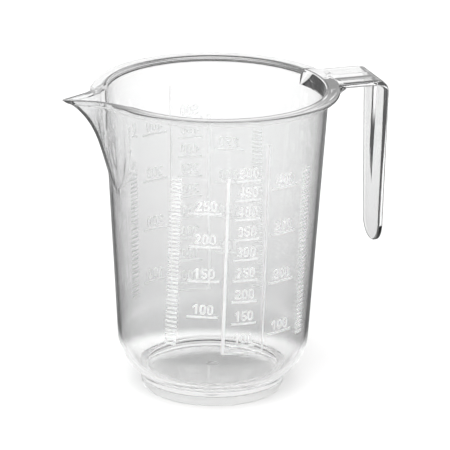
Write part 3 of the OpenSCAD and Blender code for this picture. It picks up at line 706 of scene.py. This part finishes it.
class Handle:
    """The bent plate of the handle, its rib and its wedge, in millimetres."""

    # How far the plate's faces lie inside its thickness, so that none coincides with the rim's
    SINK = 0.03
    # Where the arm starts, out from the wall
    ARM_OUT = 1.6
    # Rows along the arm, bend and grip, round the grip's end and over an edge, and columns across the plate
    PLATE_ROWS, END_ROWS, EDGE_ROWS, ACROSS = (9, 12, 25), 18, 5, 12
    # The rib: its start, where its next row may lie, rows to its point, least half width and rise, and slope
    RIB_START, RIB_NEXT, RIB_ROWS, RIB_HALF, RIB_RISE, RIB_SLOPE = 2.0, 2.5, 23, 0.05, 0.02, 0.9
    # How deep the rib is sunk in the plate, how high its sides stand straight, its rounding and its swelling
    RIB_SUNK, RIB_STRAIGHT, RIB_ROUND, RIB_SWELL = 0.5, 0.1, 0.3, 0.12
    # Share of the rib's height at its point, and how soon its height and its slope are full
    RIB_POINT, RIB_GROWTH, RIB_EASE, RIB_SLOPE_GROWTH = 0.25, 2.0, 6, 3
    # The wedge: how far it goes up into the rim, and how far its square part and its ends stop short
    WEDGE_UP, WEDGE_IN, WEDGE_END = 0.9, 1.5, 0.05
    # How far the wedge stands out at its corners and its heel, its swelling, and its depth in the wall
    WEDGE_CORNER, WEDGE_HEEL, WEDGE_SWELL, WEDGE_SUNK = 0.8, 0.35, 0.12, 0.7
    # Columns of the wedge, and its rows on the wall and on its slope
    WEDGE_COLUMNS, WEDGE_WALL_ROWS, WEDGE_ROWS = 33, 7, 11

    def __init__(self, sizes, vessel):
        self.sizes = sizes
        self.vessel = vessel
        height = vessel.sizes.height
        self.thick = sizes.thickness - 2 * self.SINK
        self.mid = height - sizes.thickness / 2
        self.start = vessel.wall_r(height) + self.ARM_OUT
        self.bend_r = sizes.bend_r - sizes.thickness / 2
        self.bend_c = (sizes.reach - sizes.bend_r, height - sizes.bend_r)
        self.arm = self.bend_c[0] - self.start
        self.straight = self.arm + self.bend_r * math.pi / 2
        self.round_at = self.straight + self.bend_c[1] - (height - sizes.height) - sizes.end_w / 2

    def place(self, along, y, out):
        """The point at a distance along the plate's middle, with out towards its outer face."""
        if along <= self.arm:
            return (self.start + along, y, self.mid + out)
        if along <= self.straight:
            a = (along - self.arm) / self.bend_r
            radius = self.bend_r + out
            return (self.bend_c[0] + radius * math.sin(a), y, self.bend_c[1] + radius * math.cos(a))
        drop = along - self.straight
        return (self.bend_c[0] + self.bend_r + out, y, self.bend_c[1] - drop)

    def half_width(self, along):
        sizes = self.sizes
        gone = np.clip((along - self.straight) / (self.round_at - self.straight), 0.0, 1.0)
        return sizes.width / 2 + (sizes.end_w - sizes.width) / 2 * gone

    def stations(self):
        return [0.0] + levels((0.0, self.arm, self.straight, self.round_at), self.PLATE_ROWS)

    def plate(self, name):
        """A plate with rounded edges: rows across it, each a closed loop of its two faces and two edges."""
        rounding, end_r = self.sizes.edge_r, self.sizes.end_w / 2
        outline = [(a, self.half_width(a), 0.0, 1.0) for a in self.stations()]
        for turn in levels((0.0, math.pi / 2), (self.END_ROWS,)):
            sine, cosine = math.sin(turn), math.cos(turn)
            outline.append((self.round_at + end_r * sine, end_r * cosine, sine, cosine))
        quarter = np.linspace(0, math.pi / 2, self.EDGE_ROWS + 1)
        middle = self.thick / 2 - rounding
        layers = [(rounding * (1 - math.cos(a)), middle + rounding * math.sin(a)) for a in quarter]
        layers = [(inset, -out) for inset, out in reversed(layers)] + layers
        across = [1 - 2 * i / self.ACROSS for i in range(1, self.ACROSS)]
        rows = []
        for along, half, n_along, n_y in outline:
            edge = [(along - inset * n_along, half - inset * n_y, out) for inset, out in layers]
            top_along, top_y, top_out = edge[-1]
            loop = edge + [(top_along, top_y * c, top_out) for c in across]
            loop += [(a, -y, out) for a, y, out in reversed(edge)]
            loop += [(top_along, -top_y * c, -top_out) for c in across]
            rows.append([self.place(*point) for point in loop])
        return self.skin(name, rows)

    @staticmethod
    def skin(name, rows):
        """A closed solid through loops of equal length, with flat ends."""
        n = len(rows[0])
        vertices = [p for row in rows for p in row]
        faces = [
            (j * n + i, j * n + (i + 1) % n, (j + 1) * n + (i + 1) % n, (j + 1) * n + i)
            for j in range(len(rows) - 1)
            for i in range(n)
        ]
        faces.append(tuple(reversed(range(n))))
        faces.append(tuple(range((len(rows) - 1) * n, len(rows) * n)))
        return new_mesh_object(name, vertices, faces)

    def rib(self, name):
        """The rib under the arm and inside the grip, which runs out to a point."""
        sizes, straight, face = self.sizes, self.straight, -self.thick / 2
        point = straight + self.bend_c[1] - (self.vessel.sizes.height - sizes.rib_drop)
        stations = [self.RIB_START] + [a for a in self.stations() if self.RIB_NEXT < a <= straight]
        stations += levels((straight, point), (self.RIB_ROWS,))
        rows = []
        for a in stations:
            left = 1 - max(a - straight, 0.0) / (point - straight)
            half = max(sizes.rib_w / 2 * left, self.RIB_HALF)
            grown = min(1.0, self.RIB_POINT + self.RIB_GROWTH * left)
            rise = sizes.rib_h * grown * smooth_step(left * self.RIB_EASE)
            top = max(half - self.RIB_SLOPE * min(1.0, left * self.RIB_SLOPE_GROWTH), self.RIB_RISE)
            out = face - rise - self.RIB_RISE
            soft = self.RIB_ROUND * (half - top)
            loop = [
                (half, face + self.RIB_SUNK), (half, face - self.RIB_STRAIGHT),
                (top + soft, out + self.RIB_SWELL * rise), (top - soft, out),
            ]
            loop += [(-y, o) for y, o in reversed(loop)]
            rows.append([self.place(a, y, o) for y, o in loop])
        return self.skin(name, rows)

    def wedge(self, name):
        """The wedge between the arm and the wall, wider along the wall than the arm, with round corners."""
        sizes, vessel = self.sizes, self.vessel
        high = vessel.rim_low
        low, top = high - sizes.root_h, high + self.WEDGE_UP
        reach = vessel.wall_r(high) + sizes.root_len
        side, square = sizes.root_w / 2, sizes.width / 2 - self.WEDGE_IN
        sunk = self.WEDGE_SUNK * vessel.sizes.wall_t
        rows = []
        for turn in np.linspace(-math.pi / 2, math.pi / 2, self.WEDGE_COLUMNS):
            y = (side - self.WEDGE_END) * math.sin(turn)
            over = max(abs(y) - square, 0.0) / (side - square)

            def wall(z, depth=0.0):
                return math.sqrt((vessel.wall_r(z) - depth) ** 2 - y * y)

            corner, heel = wall(high) + self.WEDGE_CORNER, wall(low) + self.WEDGE_HEEL
            tip = corner + (reach - corner) * math.sqrt(1 - over * over)
            loop = [(wall(z, sunk), y, z) for z in np.linspace(top, low, self.WEDGE_WALL_ROWS)]
            for t in np.linspace(0.0, 1.0, self.WEDGE_ROWS):
                swell = self.WEDGE_SWELL * math.sin(math.pi * t)
                loop.append((heel + (tip - heel) * t + swell, y, low + (high - low) * t))
            rows.append(loop + [(tip, y, top)])
        return self.skin(name, rows)


def feed(tree, socket, value):
    """Links an output to an input, or sets the input's own value."""
    if isinstance(value, bpy.types.NodeSocket):
        tree.links.new(value, socket)
    else:
        socket.default_value = value


def node(tree, kind, at, inputs=None, **settings):
    """A shader node with its place, its settings and its inputs by name or number."""
    made = tree.nodes.new(kind)
    made.location = at
    for key, value in settings.items():
        setattr(made, key, value)
    for key, value in (inputs or {}).items():
        feed(tree, made.inputs[key], value)
    return made


def maths(tree, operation, at, first, second=0.0):
    """The result of a math node on two numbers or outputs."""
    return node(tree, "ShaderNodeMath", at, {0: first, 1: second}, operation=operation).outputs[0]


def vector_maths(tree, operation, at, first, second=(0.0, 0.0, 0.0)):
    """The result of a vector math node, which is a number for a length or a dot product."""
    made = node(tree, "ShaderNodeVectorMath", at, {0: first, 1: second}, operation=operation)
    return made.outputs["Value" if operation in ("LENGTH", "DOT_PRODUCT") else "Vector"]


def step(tree, at, value, start_end, low_high=(0.0, 1.0)):
    """A soft step from low to high where the value goes from start to end."""
    inputs = dict(zip(("From Min", "From Max", "To Min", "To Max"), (*start_end, *low_high)))
    made = node(tree, "ShaderNodeMapRange", at, {"Value": value, **inputs}, interpolation_type="SMOOTHSTEP")
    return made.outputs["Result"]


def mixed_colour(tree, at, blend, factor, first, second):
    """The result of a colour mix node."""
    inputs = {0: factor, 6: first, 7: second}
    return node(tree, "ShaderNodeMix", at, inputs, data_type="RGBA", blend_type=blend).outputs[2]


def moulded_surface():
    """Node group: the fine scratches, wiped haze and faint waves of a moulded surface."""
    found = bpy.data.node_groups.get("Moulded surface")
    if found:
        return found
    tree = bpy.data.node_groups.new("Moulded surface", "ShaderNodeTree")
    for name, default in (("Roughness", 0.02), ("Scratches", 0.5), ("Haze", 0.5), ("Wave size", 0.02)):
        socket = tree.interface.new_socket(name=name, in_out="INPUT", socket_type="NodeSocketFloat")
        socket.default_value = default
    for name in ("Roughness", "Height"):
        tree.interface.new_socket(name=name, in_out="OUTPUT", socket_type="NodeSocketFloat")
    entry = node(tree, "NodeGroupInput", (-1100, 0)).outputs
    place = node(tree, "ShaderNodeTexCoord", (-1100, 300)).outputs["Object"]

    stretch = {"Vector": place, "Scale": (900.0, 900.0, 45.0), "Rotation": (0.5, 0.35, 0.2)}
    drawn_out = node(tree, "ShaderNodeMapping", (-900, 300), stretch).outputs["Vector"]
    fibres = {"Vector": drawn_out, "Scale": 1.0, "Detail": 3.0}
    scratch = node(tree, "ShaderNodeTexNoise", (-700, 300), fibres).outputs["Fac"]
    thin = step(tree, (-500, 300), scratch, (0.62, 0.74))
    scratches = maths(tree, "MULTIPLY", (-250, 300), thin, entry["Scratches"])

    wiped = {"Vector": place, "Scale": 38.0, "Detail": 5.0, "Roughness": 0.6}
    smear = node(tree, "ShaderNodeTexNoise", (-700, 0), wiped).outputs["Fac"]
    haze = maths(tree, "MULTIPLY", (-250, 100), smear, entry["Haze"])
    dulled = maths(tree, "ADD", (120, 200), maths(tree, "ADD", (-50, 200), scratches, haze), 0.6)
    rough = maths(tree, "MULTIPLY", (300, 200), dulled, entry["Roughness"])

    size = maths(tree, "DIVIDE", (-900, -250), 1.0, entry["Wave size"])
    waves = {"Vector": place, "Scale": size, "Detail": 1.5}
    wave = node(tree, "ShaderNodeTexNoise", (-700, -250), waves).outputs["Fac"]
    nick = maths(tree, "MULTIPLY", (-50, -100), scratches, -0.04)
    height = maths(tree, "ADD", (300, -200), wave, nick)
    node(tree, "NodeGroupOutput", (700, 0), {"Roughness": rough, "Height": height})
    return tree


def surfaced(name, roughness, scratches, haze, wave, bump):
    """A new material whose shader has the moulded surface, with that shader."""
    material = bpy.data.materials.new(name)
    material.use_nodes = True
    tree = material.node_tree
    shader = tree.nodes["Principled BSDF"]
    shader.location = (200, 200)
    values = {"Roughness": roughness, "Scratches": scratches, "Haze": haze, "Wave size": wave}
    surface = node(tree, "ShaderNodeGroup", (-500, 0), values, node_tree=moulded_surface()).outputs
    relief = {"Strength": bump, "Distance": MM, "Height": surface["Height"]}
    normal = node(tree, "ShaderNodeBump", (-150, -200), relief).outputs["Normal"]
    feed(tree, shader.inputs["Roughness"], surface["Roughness"])
    feed(tree, shader.inputs["Normal"], normal)
    return material, shader


def lets_light_through_with_painted_glow(tree, shader, shadow_tint, painted_led_glow):
    """Lamp light passes the plastic, which throws a pale shadow. Light led along inside it is a painted glow,
    an emission with a brightness of its own, which fades to the lip and the handle."""
    path = node(tree, "ShaderNodeLightPath", (200, 700)).outputs
    place = node(tree, "ShaderNodeTexCoord", (-900, -600)).outputs["Object"]
    x = node(tree, "ShaderNodeSeparateXYZ", (-700, -600), {"Vector": place}).outputs["X"]
    off_middle = maths(tree, "ABSOLUTE", (-300, -600), maths(tree, "SUBTRACT", (-500, -600), x, PAINTED_GLOW_MIDDLE))
    strength = step(tree, (-100, -600), off_middle, PAINTED_GLOW_EDGE, (painted_led_glow, PAINTED_GLOW_LEAST))
    # Painted glow: an emission in place of light led along inside the plastic
    led = node(tree, "ShaderNodeEmission", (200, -600), {"Strength": strength}).outputs["Emission"]
    often = maths(tree, "GREATER_THAN", (400, 700), path["Glossy Depth"], PAINTED_GLOW_AFTER)
    inner = node(tree, "ShaderNodeMixShader", (550, 100), {0: often, 1: shader.outputs["BSDF"], 2: led})
    clear = node(tree, "ShaderNodeBsdfTransparent", (550, 350), {"Color": (*shadow_tint, 1.0)})
    both = {0: path["Is Shadow Ray"], 1: inner.outputs["Shader"], 2: clear.outputs["BSDF"]}
    out = tree.nodes["Material Output"]
    out.location = (1000, 200)
    feed(tree, out.inputs["Surface"], node(tree, "ShaderNodeMixShader", (800, 250), both).outputs["Shader"])


def painted_rim_shade(tree, tint_with_painted_shade, radius, top):
    """Painted shade: darkens the colour in a thin ring, where the rim's rounded inner edge bends the light
    away.
    """
    place = node(tree, "ShaderNodeTexCoord", (-1500, 800)).outputs["Object"]
    flat = vector_maths(tree, "MULTIPLY", (-1300, 800), place, (1.0, 1.0, 0.0))
    away = vector_maths(tree, "LENGTH", (-1100, 800), flat)
    off_ring = maths(tree, "ABSOLUTE", (-700, 800), maths(tree, "SUBTRACT", (-900, 800), away, radius))
    ring = step(tree, (-500, 800), off_ring, RIM_PAINTED_SHADE_EDGE, (1.0, 0.0))
    z = node(tree, "ShaderNodeSeparateXYZ", (-1300, 1050), {"Vector": place}).outputs["Z"]
    high = maths(tree, "GREATER_THAN", (-500, 1050), z, top - RIM_PAINTED_SHADE_DEPTH)
    line = maths(tree, "MULTIPLY", (-300, 900), ring, high)
    return mixed_colour(tree, (0, 700), "MIX", line, tint_with_painted_shade, RIM_PAINTED_SHADE_TINT)


def clear_plastic(finish, vessel):
    """Clear polished plastic with painted shade: its colour darkens where it is seen aslant and along its
    surface, so that its edges go dark.
    """
    material, shader = surfaced(
        "Clear plastic", finish.polish, scratches=0.6, haze=0.8, wave=0.03, bump=finish.waviness
    )
    shader.inputs["Transmission Weight"].default_value = 1.0
    shader.inputs["IOR"].default_value = finish.ior
    tree = material.node_tree
    # Painted shade: Layer Weight darkens the colour where the plastic is seen aslant and along its surface
    facing = node(tree, "ShaderNodeLayerWeight", (-500, 500), {"Blend": 0.5}).outputs["Facing"]
    ramp = node(tree, "ShaderNodeValToRGB", (-250, 500), {"Fac": facing})
    stops = ramp.color_ramp.elements
    stops[0].position, stops[0].color = CLEAR_AT, (*finish.clear_tint, 1.0)
    stops[1].position, stops[1].color = EDGE_AT, (*finish.edge_tint_with_painted_shade, 1.0)
    stops.new(ASLANT_AT).color = (*finish.aslant_tint_with_painted_shade, 1.0)
    sizes = vessel.sizes
    # Painted shade: a thin dark ring on the rim's inner edge
    edge = vessel.inner_r(sizes.height) + sizes.rim_inner_r + RIM_PAINTED_SHADE_OUT
    tint_with_painted_shade = painted_rim_shade(tree, ramp.outputs["Color"], edge * MM, sizes.height * MM)
    feed(tree, shader.inputs["Base Color"], tint_with_painted_shade)
    lets_light_through_with_painted_glow(tree, shader, PLASTIC_SHADOW, finish.painted_led_glow)
    return material


def frosted_marks(finish):
    """The raised marks: the same plastic with a fine frosted face and a painted glow."""
    material, shader = surfaced(
        "Frosted marks", finish.mark_roughness, scratches=0.4, haze=0.7, wave=0.004, bump=0.15
    )
    shader.inputs["Transmission Weight"].default_value = finish.mark_clear
    shader.inputs["IOR"].default_value = finish.ior
    shader.inputs["Base Color"].default_value = (*finish.mark_tint, 1.0)
    # Painted glow: the marks give off light of their own
    shader.inputs["Emission Color"].default_value = (*finish.mark_tint, 1.0)
    shader.inputs["Emission Strength"].default_value = finish.mark_painted_glow
    lets_light_through_with_painted_glow(material.node_tree, shader, MARK_SHADOW, finish.painted_led_glow)
    return material


def behind(tree, at, direction, backdrop):
    """How far a direction points to the backdrop, from -1 to 1."""
    return vector_maths(tree, "DOT_PRODUCT", at, direction, (-math.sin(backdrop), math.cos(backdrop), 0.0))


def floor_painted_light(tree, stage):
    """Painted light and shade on the floor: plain where it is seen by itself, and otherwise a painted pool of
    light inside the foot and behind it, with painted shade round it. Away from the jug its mirror image is
    painted dark, but not for light led from the backdrop's side."""
    place = node(tree, "ShaderNodeTexCoord", (-2100, 0)).outputs["Object"]
    path = node(tree, "ShaderNodeLightPath", (-2100, -600)).outputs
    away = vector_maths(tree, "LENGTH", (-1900, 200), place)
    ahead = vector_maths(tree, "NORMALIZE", (-1900, -200), place)
    rearward = behind(tree, (-1700, -200), ahead, stage.backdrop)

    # Painted pool of light inside the foot and behind it, painted shade round the jug
    near = step(tree, (-1500, 200), away, REAR_EDGE, (1.0, 0.0))
    rear = maths(tree, "MULTIPLY", (-1300, 100), near, step(tree, (-1500, -50), rearward, REAR_SECTOR))
    inside = step(tree, (-1500, 450), away, FOOT_EDGE, (1.0, 0.0))
    lit = maths(tree, "MAXIMUM", (-1100, 200), rear, inside)
    lift = maths(tree, "MULTIPLY", (-900, 200), lit, 1.0 - stage.shade)
    rise = step(tree, (-1500, 700), away, OPEN_EDGE, (0.0, stage.open_floor - stage.shade))
    around = maths(tree, "ADD", (-500, 300), maths(tree, "ADD", (-700, 300), lift, rise), stage.shade)
    under = step(tree, (-1500, 950), away, UNDER_EDGE, (stage.under, 1.0))
    toned = maths(tree, "MULTIPLY", (-300, 300), around, under)
    tones = {0: path["Is Camera Ray"], 2: toned, 3: stage.open_floor}
    seen = node(tree, "ShaderNodeMix", (-100, 300), tones, data_type="FLOAT").outputs[0]

    # Painted dark reflection of the floor away from the jug
    far = step(tree, (-1500, -300), away, (stage.plinth, PLINTH_FADE * stage.plinth))
    once = maths(tree, "MINIMUM", (-1900, -600), path["Glossy Depth"], 1.0)
    often = maths(tree, "GREATER_THAN", (-1900, -800), path["Glossy Depth"], 1.5)
    led = maths(tree, "MULTIPLY", (-1300, -700), often, step(tree, (-1500, -550), rearward, LED_SECTOR))
    dark = maths(tree, "MULTIPLY", (-900, -400), far, maths(tree, "SUBTRACT", (-1100, -600), once, led))
    left = maths(tree, "POWER", (-700, -400), stage.mirrored, dark)
    return maths(tree, "MULTIPLY", (100, 100), seen, left)


def pale_floor(stage):
    """The floor's matt material, with a faint grain and painted light, shade and dark reflections round the
    jug.
    """
    material = bpy.data.materials.new("Pale floor")
    material.use_nodes = True
    tree = material.node_tree
    grain = node(tree, "ShaderNodeTexNoise", (-300, 700), {"Scale": 60.0}).outputs["Color"]
    tone = mixed_colour(tree, (0, 700), "MULTIPLY", 0.02, (*stage.floor_tint, 1.0), grain)
    # The floor's colour carries the painted light and shade
    colour_with_painted_light = mixed_colour(tree, (300, 500), "MULTIPLY", 1.0, tone, floor_painted_light(tree, stage))
    shader = tree.nodes["Principled BSDF"]
    shader.location = (600, 300)
    tree.nodes["Material Output"].location = (900, 300)
    feed(tree, shader.inputs["Base Color"], colour_with_painted_light)
    shader.inputs["Roughness"].default_value = 0.9
    shader.inputs["Specular IOR Level"].default_value = 0.0
    return material


class JUG_OT_moulding(bpy.types.Operator):
    """Build the jug's one clear moulding: vessel, lip, rim, foot and handle"""

    bl_idname = "jug.moulding"
    bl_label = "Jug Moulding"

    def execute(self, context):
        scene = context.scene
        vessel = Vessel(millimetres(scene.jug_vessel), millimetres(scene.jug_lip))
        handle = Handle(millimetres(scene.jug_handle), vessel)
        piece = vessel.solid("jug_moulding")
        join_solids(piece, [handle.plate("plate"), handle.rib("rib"), handle.wedge("wedge")])
        piece.data.name = "jug_moulding"
        piece.data.shade_smooth()
        piece.data.set_sharp_from_angle(angle=math.radians(SHARP_ANGLE))
        piece.data.materials.clear()
        piece.data.materials.append(clear_plastic(scene.jug_finish, vessel))
        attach(piece, BODY)
        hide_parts(*MOULDED_NODES)
        return {"FINISHED"}


class JUG_OT_scales(bpy.types.Operator):
    """Give the raised marks and numbers of the frame their frosted finish"""

    bl_idname = "jug.scales"
    bl_label = "Raised Scales"

    def execute(self, context):
        finish = frosted_marks(context.scene.jug_finish)
        for name in SCALE_NODES:
            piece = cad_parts[name]
            piece.data.materials.clear()
            piece.data.materials.append(finish)
        return {"FINISHED"}


class JUG_OT_stage(bpy.types.Operator):
    """Set up the pale floor, the soft light, the surroundings and the camera"""

    bl_idname = "jug.stage"
    bl_label = "Stage"

    def execute(self, context):
        scene = context.scene
        stage = scene.jug_stage
        self.floor(stage)
        self.surroundings(scene, stage)
        self.lamp("Key light", stage.key_strength, KEY_FROM, stage.key_spread)
        self.lamp("Fill light", stage.fill_strength, FILL_FROM, stage.key_spread)
        self.camera(scene, stage)
        scene.view_settings.view_transform = "Standard"
        scene.cycles.max_bounces = 32
        scene.cycles.glossy_bounces = 16
        scene.cycles.transmission_bounces = 24
        scene.cycles.caustics_refractive = False
        scene.cycles.caustics_reflective = False
        return {"FINISHED"}

    def floor(self, stage):
        half = stage.floor_size
        mesh = bpy.data.meshes.new("floor")
        corners = [(x * half, y * half, -FLOOR_DROP) for x, y in ((-1, -1), (1, -1), (1, 1), (-1, 1))]
        mesh.from_pydata(corners, [], [(0, 1, 2, 3)])
        floor = bpy.data.objects.new("floor", mesh)
        bpy.context.scene.collection.objects.link(floor)
        mesh.materials.append(pale_floor(stage))

    def surroundings(self, scene, stage):
        """A lit backdrop on one side, dimmer where it is mirrored inside the plastic."""
        world = bpy.data.worlds.new("Surroundings")
        world.use_nodes = True
        scene.world = world
        tree = world.node_tree
        place = node(tree, "ShaderNodeTexCoord", (-900, 0)).outputs["Generated"]
        path = node(tree, "ShaderNodeLightPath", (-900, -300)).outputs
        lit = step(tree, (-500, 0), behind(tree, (-700, 0), place, stage.backdrop), LIT_SECTOR, LIT_TONES)
        inner = maths(tree, "MULTIPLY", (-700, -300), path["Is Transmission Ray"], path["Glossy Depth"])
        left = maths(tree, "POWER", (-500, -300), stage.mirrored, inner)
        full = step(tree, (-700, -500), path["Is Diffuse Ray"], (0.0, 1.0), (stage.sky, stage.ambient))
        background = tree.nodes["Background"]
        feed(tree, background.inputs["Color"], lit)
        feed(tree, background.inputs["Strength"], maths(tree, "MULTIPLY", (-250, -300), left, full))

    def lamp(self, name, strength, at, spread):
        """A wide soft light that shines from the direction at."""
        data = bpy.data.lights.new(name, "SUN")
        data.energy = strength
        data.angle = spread
        lamp = bpy.data.objects.new(name, data)
        bpy.context.scene.collection.objects.link(lamp)
        lamp.location = at
        lamp.rotation_mode = "QUATERNION"
        lamp.rotation_quaternion = (-Vector(at)).to_track_quat("-Z", "Y")
        lamp.visible_glossy = False
        lamp.visible_transmission = False

    def camera(self, scene, stage):
        around, above, roll = stage.azimuth, stage.elevation, stage.roll
        right = Vector((math.cos(around), math.sin(around), 0.0))
        level = math.cos(above)
        back = Vector((math.sin(around) * level, -math.cos(around) * level, math.sin(above)))
        up = back.cross(right)
        data = bpy.data.cameras.new("Camera")
        data.lens = stage.lens
        data.sensor_width = 36.0
        data.clip_start, data.clip_end = 0.05, 60.0
        camera = bpy.data.objects.new("Camera", data)
        scene.collection.objects.link(camera)
        across = math.cos(roll) * right + math.sin(roll) * up
        upright = math.cos(roll) * up - math.sin(roll) * right
        target = stage.target_side * right + Vector((0.0, 0.0, stage.target_up))
        turn = Matrix((across, upright, back)).transposed().to_4x4()
        camera.matrix_world = Matrix.Translation(target + stage.distance * back) @ turn
        scene.camera = camera


class JUG_PT_panel(bpy.types.Panel):
    """Sizes, finish and steps of the jug"""

    bl_idname = "JUG_PT_panel"
    bl_label = "Measuring Jug"
    bl_space_type = "VIEW_3D"
    bl_region_type = "UI"
    bl_category = "Jug"

    def draw(self, context):
        layout = self.layout
        for operator in (JUG_OT_moulding, JUG_OT_scales, JUG_OT_stage):
            layout.operator(operator.bl_idname)
        for title, key in GROUPS:
            box = layout.box()
            box.label(text=title)
            group = getattr(context.scene, key)
            for prop in group.bl_rna.properties.keys():
                if prop not in ("rna_type", "name"):
                    box.prop(group, prop)


GROUPS = (
    ("Vessel", "jug_vessel"), ("Lip", "jug_lip"), ("Handle", "jug_handle"), ("Finish", "jug_finish"),
    ("Stage", "jug_stage"),
)
PROPERTY_GROUPS = (JugVesselSizes, JugLipSizes, JugHandleSizes, JugFinish, JugStage)
CLASSES = PROPERTY_GROUPS + (JUG_OT_moulding, JUG_OT_scales, JUG_OT_stage, JUG_PT_panel)


def register():
    for made in CLASSES:
        bpy.utils.register_class(made)
    for (_, key), group in zip(GROUPS, PROPERTY_GROUPS):
        setattr(bpy.types.Scene, key, PointerProperty(type=group))


def unregister():
    for _, key in GROUPS:
        delattr(bpy.types.Scene, key)
    for made in reversed(CLASSES):
        bpy.utils.unregister_class(made)


def main():
    register()
    bpy.ops.jug.moulding()
    bpy.ops.jug.scales()
    bpy.ops.jug.stage()


if __name__ == "__main__":
    main()
